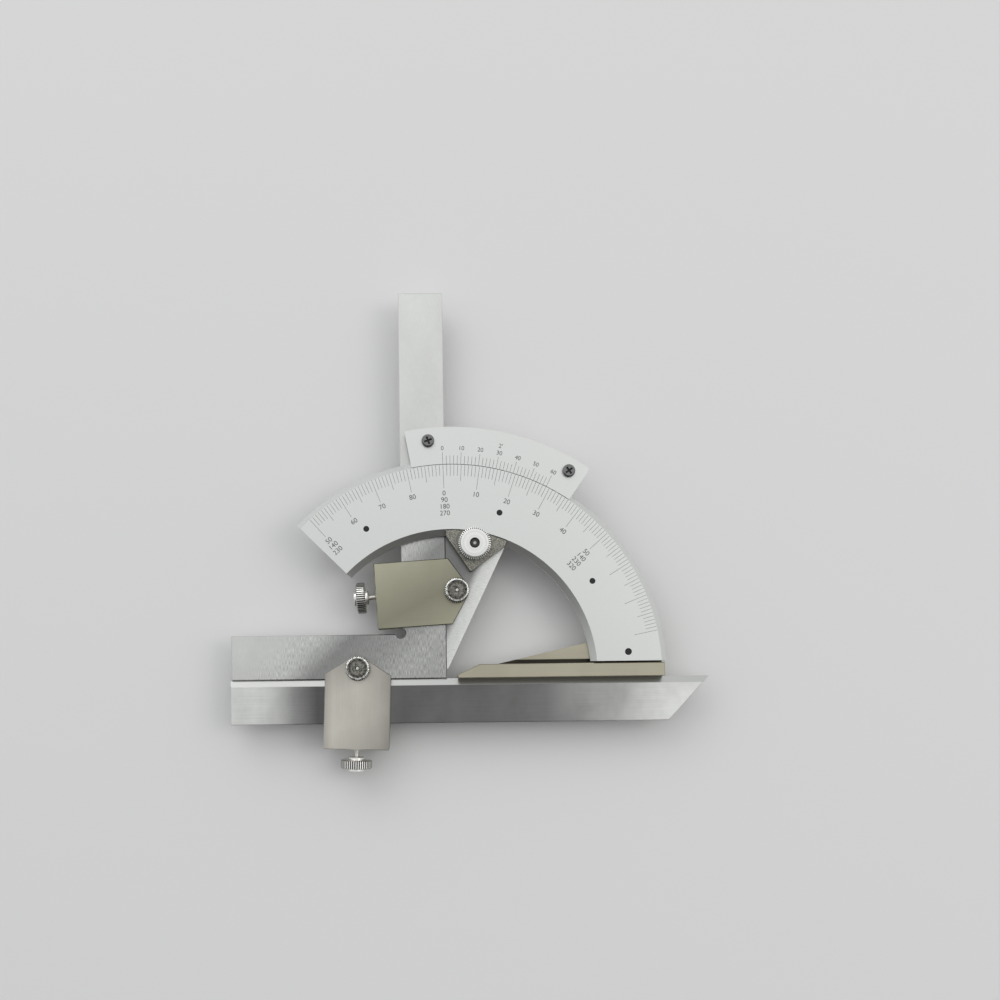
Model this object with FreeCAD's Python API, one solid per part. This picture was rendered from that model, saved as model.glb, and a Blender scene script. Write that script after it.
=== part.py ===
import FreeCAD, Part
import math
import os
from FreeCAD import Vector

# Universal bevel protractor, 0 to 320 degrees, read to 2 minutes on a vernier.
# Millimetres. The origin is the centre of the graduated arc, on the back face of the rules.
# +X runs along the straight rule, +Y up the long leg of the square, +Z towards the reader.
# A bearing is an angle in degrees clockwise from +Y, as the arc is graduated.

# Rules and square
RULE_THICKNESS = 4.0
RULE_WIDTH = 19.6
RULE_RIGHT = 113.8
RULE_LEFT = 97.5
RULE_TOP = -1.4
RULE_TIP_ANGLE = 47.4
RULE_BEVEL_WIDTH = 2.9
RULE_BEVEL_DEPTH = 1.0
SQUARE_OFFSET = 2.0
SQUARE_HEIGHT = 170.0
SQUARE_ARM = 94.9
SQUARE_RELIEF_RADIUS = 2.5
SQUARE_RELIEF_SHIFT = 0.5
EDGE_BREAK = 0.3
CUT_MARGIN = 1.0

# Gear train: the toothed ring under the arc and the pinion that rolls in it
MODULE = 0.8
RING_TEETH = 155
PINION_TEETH = 10
PRESSURE_ANGLE = math.radians(20.0)
PROFILE_SHIFT = 0.5
TOOTH_BACKLASH = 0.1
RING_ROOT_CLEARANCE = 0.25
PINION_TOOTH_TIP = 0.95
RING_THICKNESS = 1.5
RING_WALL = 16.8
RING_END_INSET = 1.2
PINION_BEARING = 10.5
PINION_SIDE_CLEARANCE = 0.1

# Arc plate with the main scale
ARC_START = -45.3
ARC_THICKNESS = 4.0
ARC_FACE_WIDTH = 28.1
ARC_OUTER_BEVEL = 2.4
ARC_INNER_BEVEL = 2.5
ARC_TOOTH_COVER = 0.4
ARC_FOOT_HEIGHT = 5.4

# Base rule
BASE_LEFT = 2.9
BASE_END_INSET = 0.9
BASE_BAR_TOP = 4.65
BASE_BAR_THICKNESS = 8.5
BASE_NOSE_HEIGHT = 1.55
BASE_NOSE_RUN = 9.5
BASE_SEAT_GAP = 0.05
BASE_GROOVE_WIDTH = 1.85
BASE_GROOVE_DEPTH = 3.6
BASE_FLANGE_RISE = 12.8
BASE_FLANGE_INSET = 0.4
BASE_SCREW_RADIUS = 1.5
BASE_SCREW_BEARING = 83.1
DOWEL_RADIUS = 1.25
DOWEL_DEPTH = 2.5

# Rivets that hold the toothed ring
RIVET_RADIUS = 1.3
RIVET_INSET = 6.2
RIVET_BEARINGS = (-29.6, 17.1, 56.9)
RIVET_RECESS = 0.2

# Sector plate and vernier
SECTOR_TIP_HEIGHT = 2.9
SECTOR_TIP_WIDTH = 0.6
SECTOR_FLARE = 25.6
SECTOR_RIM_WIDTH = 12.8
SECTOR_BAND_GAP = 0.5
VERNIER_WIDTH = 16.15
VERNIER_START = -10.3
VERNIER_END = 34.5
VERNIER_THICKNESS = 2.5
VERNIER_GAP = 0.25
VERNIER_SCREW_INSET = 5.7
VERNIER_SCREW_BEARINGS = (-5.1, 30.5)
VERNIER_SCREW_RADIUS = 1.5
VERNIER_HEAD_RADIUS = 2.75
VERNIER_HEAD_HEIGHT = 1.5
RIM_MARGIN = 0.3

# Brake pad, washer and nut
PAD_LEFT = -1.5
PAD_RIGHT = 23.0
PAD_FOOT_REACH = 12.05
PAD_FOOT_BEARING = 188.0
PAD_FOOT_ROUND = 0.8
PAD_SHOULDER = 0.5
PAD_GAP = 0.3
PAD_SINK = 0.2
PAD_PIN_RADIUS = 1.0
PAD_PIN_REACH = 8.3
PAD_PIN_DEPTH = 2.0
WASHER_RADIUS = 5.0
WASHER_THICKNESS = 0.5
NUT_RADIUS = 7.0
NUT_FLANGE_RADIUS = 6.3
NUT_FLANGE_HEIGHT = 0.6
NUT_BAND_HEIGHT = 2.7
NUT_FACE_RADIUS = 6.1
NUT_FACE_HEIGHT = 0.7
NUT_TEETH = 60

# Pinion shaft, bush and back knob
SHAFT_RADIUS = 2.5
JOURNAL_RADIUS = 3.0
BUSH_RADIUS = 4.5
STUD_RADIUS = 2.0
STUD_SINK = 0.3
KNOB_RADIUS = 8.0
KNOB_HUB_RADIUS = 5.5
KNOB_HUB_HEIGHT = 1.2
KNOB_DEPTH = 9.5
KNOB_GAP = 0.3
KNOB_TEETH = 54
KNOB_SCREW_RADIUS = 1.0
KNOB_SCREW_HEAD = 2.2
KNOB_SCREW_SEAT = 1.2
KNOB_WEB = 0.8
KNOB_SCREW_REACH = 2.4

# Clamps
PIN_INSET = 4.7
UPPER_PIN_HEIGHT = 37.1
LOWER_PIN_OFFSET = 41.0
UPPER_CLAMP_TURN = 3.5
LOWER_CLAMP_TURN = -2.0
CLAMP_WIDTH = 29.0
CLAMP_CHEEK = 1.8
CLAMP_SLOT_GAP = 0.2
CLAMP_END_WALL = 4.5
CLAMP_ROOF_ANGLE = 57.5
CLAMP_TIP_RADIUS = 5.4
CLAMP_CORNER = 0.4
SHOE_LENGTH = 5.0
SHOE_WIDTH = 10.0
SHOE_GAP = 0.7
SHOE_BACK_ROOM = 1.1
SHOE_SIDE_GAP = 0.1
SHOE_SOCKET = 2.0
PIN_RADIUS = 2.0
PIN_HEAD_RADIUS = 5.5
PIN_HEAD_HEIGHT = 4.2
PIN_DISH_RADIUS = 4.3
PIN_DISH_DEPTH = 0.8
PIN_NUB_RADIUS = 0.7
PIN_TEETH = 40
THUMB_SHANK_RADIUS = 1.25
THUMB_SHANK_SHOWN = 3.3
THUMB_COLLAR_RADIUS = 4.0
THUMB_COLLAR_LENGTH = 1.3
THUMB_HEAD_RADIUS = 6.9
THUMB_HEAD_LENGTH = 3.9
THUMB_TEETH = 40

# Fits
SLIDE_GAP = 0.1
RUNNING_FIT = 0.05
HOLE_FIT = 0.1
SEAT_FIT = 0.02
KNURL_DEPTH = 0.35
KNURL_CHAMFER = 0.4
FAR = 400.0
QUARTER_TURN = 90.0

# Levels worked out from the sizes above
shaft_tail = KNOB_DEPTH - KNOB_SCREW_SEAT - KNOB_WEB
ring_low = RULE_THICKNESS + SLIDE_GAP
arc_low = ring_low + RING_THICKNESS
arc_high = arc_low + ARC_THICKNESS
band_high = arc_low - SLIDE_GAP
rim_low = RULE_THICKNESS + CLAMP_SLOT_GAP
vernier_low = arc_high - VERNIER_THICKNESS
pad_high = arc_high - PAD_SINK
washer_high = pad_high + WASHER_THICKNESS
nut_high = washer_high + NUT_FLANGE_HEIGHT + NUT_BAND_HEIGHT + NUT_FACE_HEIGHT
cheek_low = -CLAMP_SLOT_GAP - CLAMP_CHEEK
cheek_high = RULE_THICKNESS + CLAMP_SLOT_GAP + CLAMP_CHEEK

# Places worked out from the sizes above
ring_pitch_radius = MODULE * RING_TEETH / 2
pinion_pitch_radius = MODULE * PINION_TEETH / 2
pinion_reach = ring_pitch_radius - pinion_pitch_radius
pinion_tip_radius = pinion_pitch_radius + PINION_TOOTH_TIP
ring_tip_radius = ring_pitch_radius - MODULE * (1 - PROFILE_SHIFT)
ring_root_radius = pinion_reach + pinion_tip_radius + RING_ROOT_CLEARANCE
arc_bore_radius = ring_tip_radius - ARC_TOOTH_COVER
scale_radius = arc_bore_radius + ARC_INNER_BEVEL + ARC_FACE_WIDTH
arc_rim_radius = scale_radius + ARC_OUTER_BEVEL
ring_outer_radius = ring_root_radius + RING_WALL
rivet_circle = ring_outer_radius - RIVET_INSET
band_start = ring_outer_radius + SECTOR_BAND_GAP
vernier_outer_radius = scale_radius + VERNIER_GAP + VERNIER_WIDTH
vernier_screw_circle = vernier_outer_radius - VERNIER_SCREW_INSET
rim_inner_radius = arc_rim_radius + 2 * VERNIER_GAP
rim_outer_radius = rim_inner_radius + SECTOR_RIM_WIDTH
square_right = -SQUARE_OFFSET
square_left = square_right - RULE_WIDTH
square_bottom = RULE_TOP + SLIDE_GAP
sector_left = square_right + SLIDE_GAP
rule_bottom = RULE_TOP - RULE_WIDTH
base_bottom = RULE_TOP + BASE_SEAT_GAP
base_right = arc_rim_radius - BASE_END_INSET
base_flange_radius = arc_rim_radius - BASE_FLANGE_INSET
base_screw_reach = (arc_bore_radius + arc_rim_radius) / 2
flange_bearing = QUARTER_TURN - BASE_FLANGE_RISE
pin_reach = PIN_INSET + SLIDE_GAP + RULE_WIDTH
clamp_length = pin_reach + SHOE_GAP + SHOE_LENGTH + SHOE_BACK_ROOM + CLAMP_END_WALL
upper_pin = Vector(sector_left + PIN_INSET, UPPER_PIN_HEIGHT, 0)
lower_pin = Vector(-LOWER_PIN_OFFSET, square_bottom + PIN_INSET, 0)


def polar(radius, bearing, z=0.0):
    angle = math.radians(bearing)
    return Vector(radius * math.sin(angle), radius * math.cos(angle), z)


pinion_axis = polar(pinion_reach, PINION_BEARING)


# Shape helpers
def prism(points, z_low, z_high):
    corners = [Vector(p.x, p.y, z_low) for p in points]
    face = Part.Face(Part.makePolygon(corners + corners[:1]))
    return face.extrude(Vector(0, 0, z_high - z_low))


def disc(radius, centre, z_low, z_high):
    return Part.makeCylinder(radius, z_high - z_low, Vector(centre.x, centre.y, z_low))


def turned(profile, centre=Vector(0, 0, 0)):
    corners = [Vector(radius, 0, z) for radius, z in profile]
    face = Part.Face(Part.makePolygon(corners + corners[:1]))
    solid = face.revolve(Vector(0, 0, 0), Vector(0, 0, 1), 360)
    solid.translate(centre)
    return solid


def arc_band(profile, bearing_start, bearing_end):
    corners = [Vector(radius, 0, z) for radius, z in profile]
    face = Part.Face(Part.makePolygon(corners + corners[:1]))
    face.rotate(Vector(0, 0, 0), Vector(0, 0, 1), QUARTER_TURN - bearing_end)
    return face.revolve(Vector(0, 0, 0), Vector(0, 0, 1), bearing_end - bearing_start)


def knurled_band(radius, teeth, z_low, z_high, centre=Vector(0, 0, 0)):
    half_pitch = 180.0 / teeth
    rim = []
    for step in range(2 * teeth):
        reach = radius if step % 2 == 0 else radius - KNURL_DEPTH
        rim.append(centre + polar(reach, step * half_pitch))
    edge = radius - KNURL_CHAMFER
    barrel = turned([(0, z_low), (edge, z_low), (radius, z_low + KNURL_CHAMFER),
                     (radius, z_high - KNURL_CHAMFER), (edge, z_high), (0, z_high)], centre)
    return prism(rim, z_low, z_high).common(barrel)


def edges_at(solid, z):
    level = []
    for edge in solid.Edges:
        box = edge.BoundBox
        if abs(box.ZMin - z) < 1e-6 and abs(box.ZMax - z) < 1e-6:
            level.append(edge)
    return level


def upright_edges_near(solid, point):
    found = []
    for edge in solid.Edges:
        middle = edge.CenterOfMass
        upright = abs(edge.BoundBox.XLength) < 1e-6 and abs(edge.BoundBox.YLength) < 1e-6
        if upright and math.hypot(middle.x - point.x, middle.y - point.y) < 1e-3:
            found.append(edge)
    return found


def broken(solid, *levels):
    for level in levels:
        solid = solid.makeChamfer(EDGE_BREAK, edges_at(solid, level))
    return solid


def fused(*solids):
    return solids[0].multiFuse(list(solids[1:])).removeSplitter()


# Arc plate and what is fixed to it
def arc_plate():
    profile = [(arc_bore_radius, arc_low),
               (arc_bore_radius, arc_high - ARC_INNER_BEVEL),
               (arc_bore_radius + ARC_INNER_BEVEL, arc_high),
               (scale_radius, arc_high),
               (arc_rim_radius, arc_high - ARC_OUTER_BEVEL),
               (arc_rim_radius, arc_low)]
    plate = arc_band(profile, ARC_START, QUARTER_TURN)
    below_foot = Part.makeBox(FAR, FAR, FAR, Vector(-FAR / 2, ARC_FOOT_HEIGHT - FAR, -FAR / 2))
    plate = plate.cut(below_foot)
    for bearing in RIVET_BEARINGS:
        plate = plate.cut(disc(RIVET_RADIUS, polar(rivet_circle, bearing), arc_low, arc_high))
    screw = polar(base_screw_reach, BASE_SCREW_BEARING)
    plate = plate.cut(disc(BASE_SCREW_RADIUS, screw, arc_low, arc_high))
    for place in dowel_places():
        plate = plate.cut(disc(DOWEL_RADIUS, place, arc_low, arc_low + DOWEL_DEPTH))
    return plate


def involute(angle):
    return math.tan(angle) - angle


def half_tooth(teeth, radius, slack):
    pitch_radius = MODULE * teeth / 2
    base_radius = pitch_radius * math.cos(PRESSURE_ANGLE)
    pitch_width = MODULE * (math.pi / 2 + 2 * PROFILE_SHIFT * math.tan(PRESSURE_ANGLE)) + slack
    angle_here = math.acos(min(1.0, base_radius / radius))
    half = pitch_width / (2 * pitch_radius) + involute(PRESSURE_ANGLE) - involute(angle_here)
    return math.degrees(half)


def spread(low, high, count):
    return [low + (high - low) * step / (count - 1) for step in range(count)]


def toothed_ring():
    pitch = 360.0 / RING_TEETH
    end = flange_bearing - RING_END_INSET
    depths = spread(ring_tip_radius, ring_root_radius, 4)
    first = math.ceil((ARC_START - PINION_BEARING) / pitch) + 1
    last = math.floor((end - PINION_BEARING) / pitch) - 1
    inner = [polar(ring_tip_radius, ARC_START, ring_low)]
    for tooth in range(first, last + 1):
        middle = PINION_BEARING + tooth * pitch
        for radius in depths:
            half = half_tooth(RING_TEETH, radius, TOOTH_BACKLASH)
            inner.append(polar(radius, middle - half, ring_low))
        for radius in reversed(depths):
            half = half_tooth(RING_TEETH, radius, TOOTH_BACKLASH)
            inner.append(polar(radius, middle + half, ring_low))
    inner.append(polar(ring_tip_radius, end, ring_low))
    outer_end = polar(ring_outer_radius, end, ring_low)
    outer_middle = polar(ring_outer_radius, (ARC_START + end) / 2, ring_low)
    outer_start = polar(ring_outer_radius, ARC_START, ring_low)
    teeth = Part.makePolygon([outer_start] + inner + [outer_end])
    back = Part.Arc(outer_end, outer_middle, outer_start).toShape()
    face = Part.Face(Part.Wire(teeth.Edges + [back]))
    ring = face.extrude(Vector(0, 0, RING_THICKNESS))
    for bearing in RIVET_BEARINGS:
        ring = ring.cut(disc(RIVET_RADIUS, polar(rivet_circle, bearing), ring_low, arc_low))
    return ring


def rivets():
    pins = []
    for bearing in RIVET_BEARINGS:
        place = polar(rivet_circle, bearing)
        pins.append(disc(RIVET_RADIUS, place, ring_low, arc_high - RIVET_RECESS))
    return Part.makeCompound(pins)


def dowel_places():
    middle = (flange_bearing + BASE_SCREW_BEARING) / 2
    inner = (arc_bore_radius + base_screw_reach) / 2
    outer = (base_screw_reach + scale_radius) / 2
    return [polar(inner, middle), polar(outer, middle)]


def base_rule():
    nose = base_bottom + BASE_NOSE_HEIGHT
    bar = prism([Vector(BASE_LEFT, base_bottom, 0), Vector(base_right, base_bottom, 0),
                 Vector(base_right, BASE_BAR_TOP, 0),
                 Vector(BASE_LEFT + BASE_NOSE_RUN, BASE_BAR_TOP, 0),
                 Vector(BASE_LEFT, nose, 0)], 0, BASE_BAR_THICKNESS)
    bar = broken(bar, 0, BASE_BAR_THICKNESS)
    flange = arc_band([(0.1, 0), (base_flange_radius, 0),
                       (base_flange_radius, arc_low), (0.1, arc_low)], flange_bearing, QUARTER_TURN)
    keep = Part.makeBox(base_right - BASE_LEFT - BASE_NOSE_RUN, FAR, arc_low,
                        Vector(BASE_LEFT + BASE_NOSE_RUN, BASE_BAR_TOP - EDGE_BREAK, 0))
    groove = Part.makeBox(FAR, BASE_GROOVE_WIDTH, FAR,
                          Vector(0, BASE_BAR_TOP, arc_low - BASE_GROOVE_DEPTH))
    base = fused(bar, flange.common(keep).cut(groove))
    screw = polar(base_screw_reach, BASE_SCREW_BEARING)
    base = base.cut(disc(BASE_SCREW_RADIUS, screw, 0, arc_low))
    for place in dowel_places():
        base = base.cut(disc(DOWEL_RADIUS, place, 0, arc_low))
    return base


def base_screw():
    place = polar(base_screw_reach, BASE_SCREW_BEARING)
    shoulder = arc_high - RIVET_RECESS - EDGE_BREAK
    return turned([(0, 0), (BASE_SCREW_RADIUS, 0), (BASE_SCREW_RADIUS, shoulder),
                   (BASE_SCREW_RADIUS - EDGE_BREAK, shoulder + EDGE_BREAK),
                   (0, shoulder + EDGE_BREAK)], place)


def base_dowels():
    pins = [disc(DOWEL_RADIUS, place, 0, arc_low + DOWEL_DEPTH) for place in dowel_places()]
    return Part.makeCompound(pins)


# Sector plate and what is fixed to it
def sector_outline():
    slope = math.tan(math.radians(SECTOR_FLARE))
    tip_right = sector_left + SECTOR_TIP_WIDTH
    top = rim_outer_radius + CUT_MARGIN
    return [Vector(sector_left, SECTOR_TIP_HEIGHT, 0), Vector(sector_left, top, 0),
            Vector(tip_right + slope * (top - SECTOR_TIP_HEIGHT), top, 0),
            Vector(tip_right, SECTOR_TIP_HEIGHT, 0)]


def sector_plate():
    fan = prism(sector_outline(), 0, band_high)
    fan = fan.common(disc(rim_outer_radius, Vector(0, 0, 0), 0, band_high))
    fan = fan.cut(disc(band_start, Vector(0, 0, 0), RULE_THICKNESS, band_high))
    rim = arc_band([(rim_inner_radius, rim_low), (rim_outer_radius, rim_low),
                    (rim_outer_radius, vernier_low), (rim_inner_radius, vernier_low)],
                   VERNIER_START + RIM_MARGIN, VERNIER_END - RIM_MARGIN)
    plate = fused(fan, rim)
    plate = plate.cut(disc(PIN_RADIUS + HOLE_FIT, upper_pin, 0, RULE_THICKNESS))
    plate = plate.cut(disc(BUSH_RADIUS, pinion_axis, 0, RULE_THICKNESS))
    for place in pad_pin_places():
        plate = plate.cut(disc(PAD_PIN_RADIUS, place, 0, RULE_THICKNESS))
    for place in vernier_screw_places():
        plate = plate.cut(disc(VERNIER_SCREW_RADIUS, place, rim_low, vernier_low))
    return plate


def vernier_plate():
    inner_top = scale_radius + VERNIER_GAP
    plate = arc_band([(inner_top, arc_high), (vernier_outer_radius, arc_high),
                      (vernier_outer_radius, vernier_low),
                      (inner_top + VERNIER_THICKNESS, vernier_low)],
                     VERNIER_START, VERNIER_END)
    for place in vernier_screw_places():
        plate = plate.cut(disc(VERNIER_SCREW_RADIUS, place, vernier_low, arc_high))
    return plate


def vernier_screw_places():
    return [polar(vernier_screw_circle, bearing) for bearing in VERNIER_SCREW_BEARINGS]


def vernier_screws():
    screws = []
    crown = arc_high + VERNIER_HEAD_HEIGHT
    for place in vernier_screw_places():
        screws.append(turned([(0, rim_low), (VERNIER_SCREW_RADIUS, rim_low),
                              (VERNIER_SCREW_RADIUS, arc_high),
                              (VERNIER_HEAD_RADIUS, arc_high),
                              (VERNIER_HEAD_RADIUS, crown - 2 * EDGE_BREAK),
                              (VERNIER_HEAD_RADIUS - 2 * EDGE_BREAK, crown),
                              (0, crown)], place))
    return Part.makeCompound(screws)


def pad_pin_places():
    return [pinion_axis + polar(PAD_PIN_REACH, PINION_BEARING + side) for side in (-100, 100)]


def brake_pad():
    shoulder = arc_bore_radius - PAD_SHOULDER
    beyond = arc_bore_radius + 2 * ARC_INNER_BEVEL
    foot = pinion_axis + polar(PAD_FOOT_REACH, PAD_FOOT_BEARING)
    blank = prism([polar(beyond, PAD_LEFT), polar(beyond, PAD_RIGHT),
                   polar(shoulder, PAD_RIGHT), foot, polar(shoulder, PAD_LEFT)],
                  RULE_THICKNESS, pad_high)
    blank = blank.makeFillet(PAD_FOOT_ROUND, upright_edges_near(blank, foot))
    reach = arc_bore_radius - PAD_GAP
    bevel_low = arc_high - ARC_INNER_BEVEL
    envelope = turned([(0, RULE_THICKNESS), (reach, RULE_THICKNESS), (reach, bevel_low),
                       (reach + pad_high - bevel_low, pad_high), (0, pad_high)])
    pad = blank.common(envelope)
    pocket_high = arc_low + PINION_SIDE_CLEARANCE
    pocket = disc(pinion_tip_radius + 4 * HOLE_FIT, pinion_axis, RULE_THICKNESS, pocket_high)
    bore = disc(SHAFT_RADIUS + HOLE_FIT, pinion_axis, RULE_THICKNESS, pad_high)
    pad = pad.cut(pocket).cut(bore)
    for place in pad_pin_places():
        top = RULE_THICKNESS + PAD_PIN_DEPTH
        pad = pad.cut(disc(PAD_PIN_RADIUS, place, RULE_THICKNESS, top))
    return pad


def pad_pins():
    top = RULE_THICKNESS + PAD_PIN_DEPTH
    return Part.makeCompound([disc(PAD_PIN_RADIUS, p, 0, top) for p in pad_pin_places()])


def pinion_bush():
    sleeve = disc(BUSH_RADIUS, pinion_axis, 0, RULE_THICKNESS)
    return sleeve.cut(disc(JOURNAL_RADIUS + RUNNING_FIT, pinion_axis, 0, RULE_THICKNESS))


# Pinion, back knob and brake nut
def pinion_teeth():
    base_radius = pinion_pitch_radius * math.cos(PRESSURE_ANGLE)
    root_radius = pinion_pitch_radius - MODULE * (1.25 - PROFILE_SHIFT)
    heights = spread(base_radius, pinion_tip_radius, 5)
    outline = []
    for tooth in range(PINION_TEETH):
        middle = PINION_BEARING + tooth * 360.0 / PINION_TEETH
        halves = [(root_radius, half_tooth(PINION_TEETH, base_radius, -TOOTH_BACKLASH))]
        for radius in heights:
            halves.append((radius, half_tooth(PINION_TEETH, radius, -TOOTH_BACKLASH)))
        outline += [pinion_axis + polar(radius, middle - half) for radius, half in halves]
        outline += [pinion_axis + polar(radius, middle + half) for radius, half in halves[::-1]]
    return prism(outline, ring_low + PINION_SIDE_CLEARANCE / 2, arc_low - PINION_SIDE_CLEARANCE / 2)


def pinion_shaft():
    stud_top = nut_high - STUD_SINK
    low_face = ring_low + PINION_SIDE_CLEARANCE / 2
    core = turned([(0, -shaft_tail), (SHAFT_RADIUS, -shaft_tail), (SHAFT_RADIUS, -KNOB_GAP),
                   (JOURNAL_RADIUS, -KNOB_GAP), (JOURNAL_RADIUS, low_face),
                   (SHAFT_RADIUS, low_face), (SHAFT_RADIUS, pad_high - SLIDE_GAP),
                   (STUD_RADIUS, pad_high - SLIDE_GAP), (STUD_RADIUS, stud_top - EDGE_BREAK),
                   (STUD_RADIUS - EDGE_BREAK, stud_top), (0, stud_top)], pinion_axis)
    shaft = fused(core, pinion_teeth())
    return shaft.cut(disc(KNOB_SCREW_RADIUS, pinion_axis, -shaft_tail,
                          KNOB_SCREW_REACH - shaft_tail))


def back_knob():
    band_top = -KNOB_GAP - KNOB_HUB_HEIGHT
    hub = disc(KNOB_HUB_RADIUS, pinion_axis, band_top, -KNOB_GAP)
    band = knurled_band(KNOB_RADIUS, KNOB_TEETH, -KNOB_DEPTH, band_top, pinion_axis)
    knob = fused(band, hub)
    seat = -KNOB_DEPTH + KNOB_SCREW_SEAT
    knob = knob.cut(disc(SHAFT_RADIUS + SEAT_FIT, pinion_axis, -shaft_tail, 0))
    knob = knob.cut(disc(KNOB_SCREW_RADIUS + HOLE_FIT, pinion_axis, seat, -shaft_tail))
    return knob.cut(disc(KNOB_SCREW_HEAD + HOLE_FIT, pinion_axis, -KNOB_DEPTH, seat))


def knob_screw():
    seat = -KNOB_DEPTH + KNOB_SCREW_SEAT
    tip = KNOB_SCREW_REACH - shaft_tail
    return turned([(0, -KNOB_DEPTH + EDGE_BREAK), (KNOB_SCREW_HEAD, -KNOB_DEPTH + EDGE_BREAK),
                   (KNOB_SCREW_HEAD, seat), (KNOB_SCREW_RADIUS, seat),
                   (KNOB_SCREW_RADIUS, tip), (0, tip)], pinion_axis)


def brake_washer():
    ring = disc(WASHER_RADIUS, pinion_axis, pad_high, washer_high)
    return ring.cut(disc(STUD_RADIUS + 2 * HOLE_FIT, pinion_axis, pad_high, washer_high))


def brake_nut():
    band_low = washer_high + NUT_FLANGE_HEIGHT
    band_high_here = band_low + NUT_BAND_HEIGHT
    flange = disc(NUT_FLANGE_RADIUS, pinion_axis, washer_high, band_low)
    band = knurled_band(NUT_RADIUS, NUT_TEETH, band_low, band_high_here, pinion_axis)
    face = turned([(0, band_high_here), (NUT_FACE_RADIUS, band_high_here),
                   (NUT_FACE_RADIUS, nut_high - EDGE_BREAK),
                   (NUT_FACE_RADIUS - EDGE_BREAK, nut_high), (0, nut_high)], pinion_axis)
    nut = fused(flange, band, face)
    nut = nut.cut(disc(STUD_RADIUS + RUNNING_FIT, pinion_axis, washer_high, nut_high))
    mouth = turned([(0, nut_high - 2 * EDGE_BREAK), (STUD_RADIUS, nut_high - 2 * EDGE_BREAK),
                    (STUD_RADIUS + 2 * EDGE_BREAK, nut_high), (0, nut_high)], pinion_axis)
    return nut.cut(mouth)


# Square and straight rule
def square():
    top = square_bottom + SQUARE_HEIGHT
    arm_top = square_bottom + RULE_WIDTH
    arm_left = square_right - SQUARE_ARM
    blank = prism([Vector(arm_left, square_bottom, 0), Vector(square_right, square_bottom, 0),
                   Vector(square_right, top, 0), Vector(square_left, top, 0),
                   Vector(square_left, arm_top, 0), Vector(arm_left, arm_top, 0)],
                  0, RULE_THICKNESS)
    blank = broken(blank, 0, RULE_THICKNESS)
    relief = Vector(square_left - SQUARE_RELIEF_SHIFT, arm_top + SQUARE_RELIEF_SHIFT, 0)
    blank = blank.cut(disc(SQUARE_RELIEF_RADIUS, relief, 0, RULE_THICKNESS))
    return blank.cut(disc(PIN_RADIUS + HOLE_FIT, lower_pin, 0, RULE_THICKNESS))


def straight_rule():
    tip_run = RULE_WIDTH / math.tan(math.radians(RULE_TIP_ANGLE))
    blank = prism([Vector(-RULE_LEFT, rule_bottom, 0), Vector(RULE_RIGHT - tip_run, rule_bottom, 0),
                   Vector(RULE_RIGHT, RULE_TOP, 0), Vector(-RULE_LEFT, RULE_TOP, 0)],
                  0, RULE_THICKNESS)
    blank = broken(blank, 0, RULE_THICKNESS)
    section = [Vector(-FAR / 2, RULE_TOP - RULE_BEVEL_WIDTH, RULE_THICKNESS),
               Vector(-FAR / 2, RULE_TOP, RULE_THICKNESS - RULE_BEVEL_DEPTH),
               Vector(-FAR / 2, RULE_TOP + 1, RULE_THICKNESS - RULE_BEVEL_DEPTH),
               Vector(-FAR / 2, RULE_TOP + 1, RULE_THICKNESS + 1),
               Vector(-FAR / 2, RULE_TOP - RULE_BEVEL_WIDTH, RULE_THICKNESS + 1)]
    bevel = Part.Face(Part.makePolygon(section + section[:1])).extrude(Vector(FAR, 0, 0))
    return blank.cut(bevel)


# Clamps, drawn about their pin with the thumbscrew towards -X
def clamp_housing():
    half = CLAMP_WIDTH / 2
    slant = math.radians(QUARTER_TURN - CLAMP_ROOF_ANGLE)
    shoulder = (CLAMP_TIP_RADIUS - half * math.sin(slant)) / math.cos(slant)
    touch_x = CLAMP_TIP_RADIUS * math.cos(slant)
    touch_y = CLAMP_TIP_RADIUS * math.sin(slant)
    corners = [Vector(touch_x, touch_y, cheek_low), Vector(shoulder, half, cheek_low),
               Vector(-clamp_length, half, cheek_low), Vector(-clamp_length, -half, cheek_low),
               Vector(shoulder, -half, cheek_low), Vector(touch_x, -touch_y, cheek_low)]
    nose = Part.Arc(corners[-1], Vector(CLAMP_TIP_RADIUS, 0, cheek_low), corners[0]).toShape()
    outline = Part.Wire(Part.makePolygon(corners).Edges + [nose])
    body = Part.Face(outline).extrude(Vector(0, 0, cheek_high - cheek_low))
    for corner in (corners[2], corners[3]):
        body = body.makeFillet(CLAMP_CORNER, upright_edges_near(body, corner))
    body = broken(body, cheek_low, cheek_high)
    slot_left = -clamp_length + CLAMP_END_WALL
    slot = Part.makeBox(FAR, FAR, RULE_THICKNESS + 2 * CLAMP_SLOT_GAP,
                        Vector(slot_left, -FAR / 2, -CLAMP_SLOT_GAP))
    body = body.cut(slot)
    centre = Vector(0, 0, 0)
    body = body.cut(disc(PIN_RADIUS + RUNNING_FIT, centre, cheek_low, cheek_high))
    thread = Part.makeCylinder(THUMB_SHANK_RADIUS + RUNNING_FIT, CLAMP_END_WALL,
                               Vector(-clamp_length, 0, RULE_THICKNESS / 2), Vector(1, 0, 0))
    return body.cut(thread)


def clamp_shoe():
    face_x = -pin_reach - SHOE_GAP
    block = Part.makeBox(SHOE_LENGTH, SHOE_WIDTH, RULE_THICKNESS - 2 * SHOE_SIDE_GAP,
                         Vector(face_x - SHOE_LENGTH, -SHOE_WIDTH / 2, SHOE_SIDE_GAP))
    socket = Part.makeCylinder(THUMB_SHANK_RADIUS + RUNNING_FIT, SHOE_SOCKET,
                               Vector(face_x - SHOE_LENGTH, 0, RULE_THICKNESS / 2),
                               Vector(1, 0, 0))
    return block.cut(socket)


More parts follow.
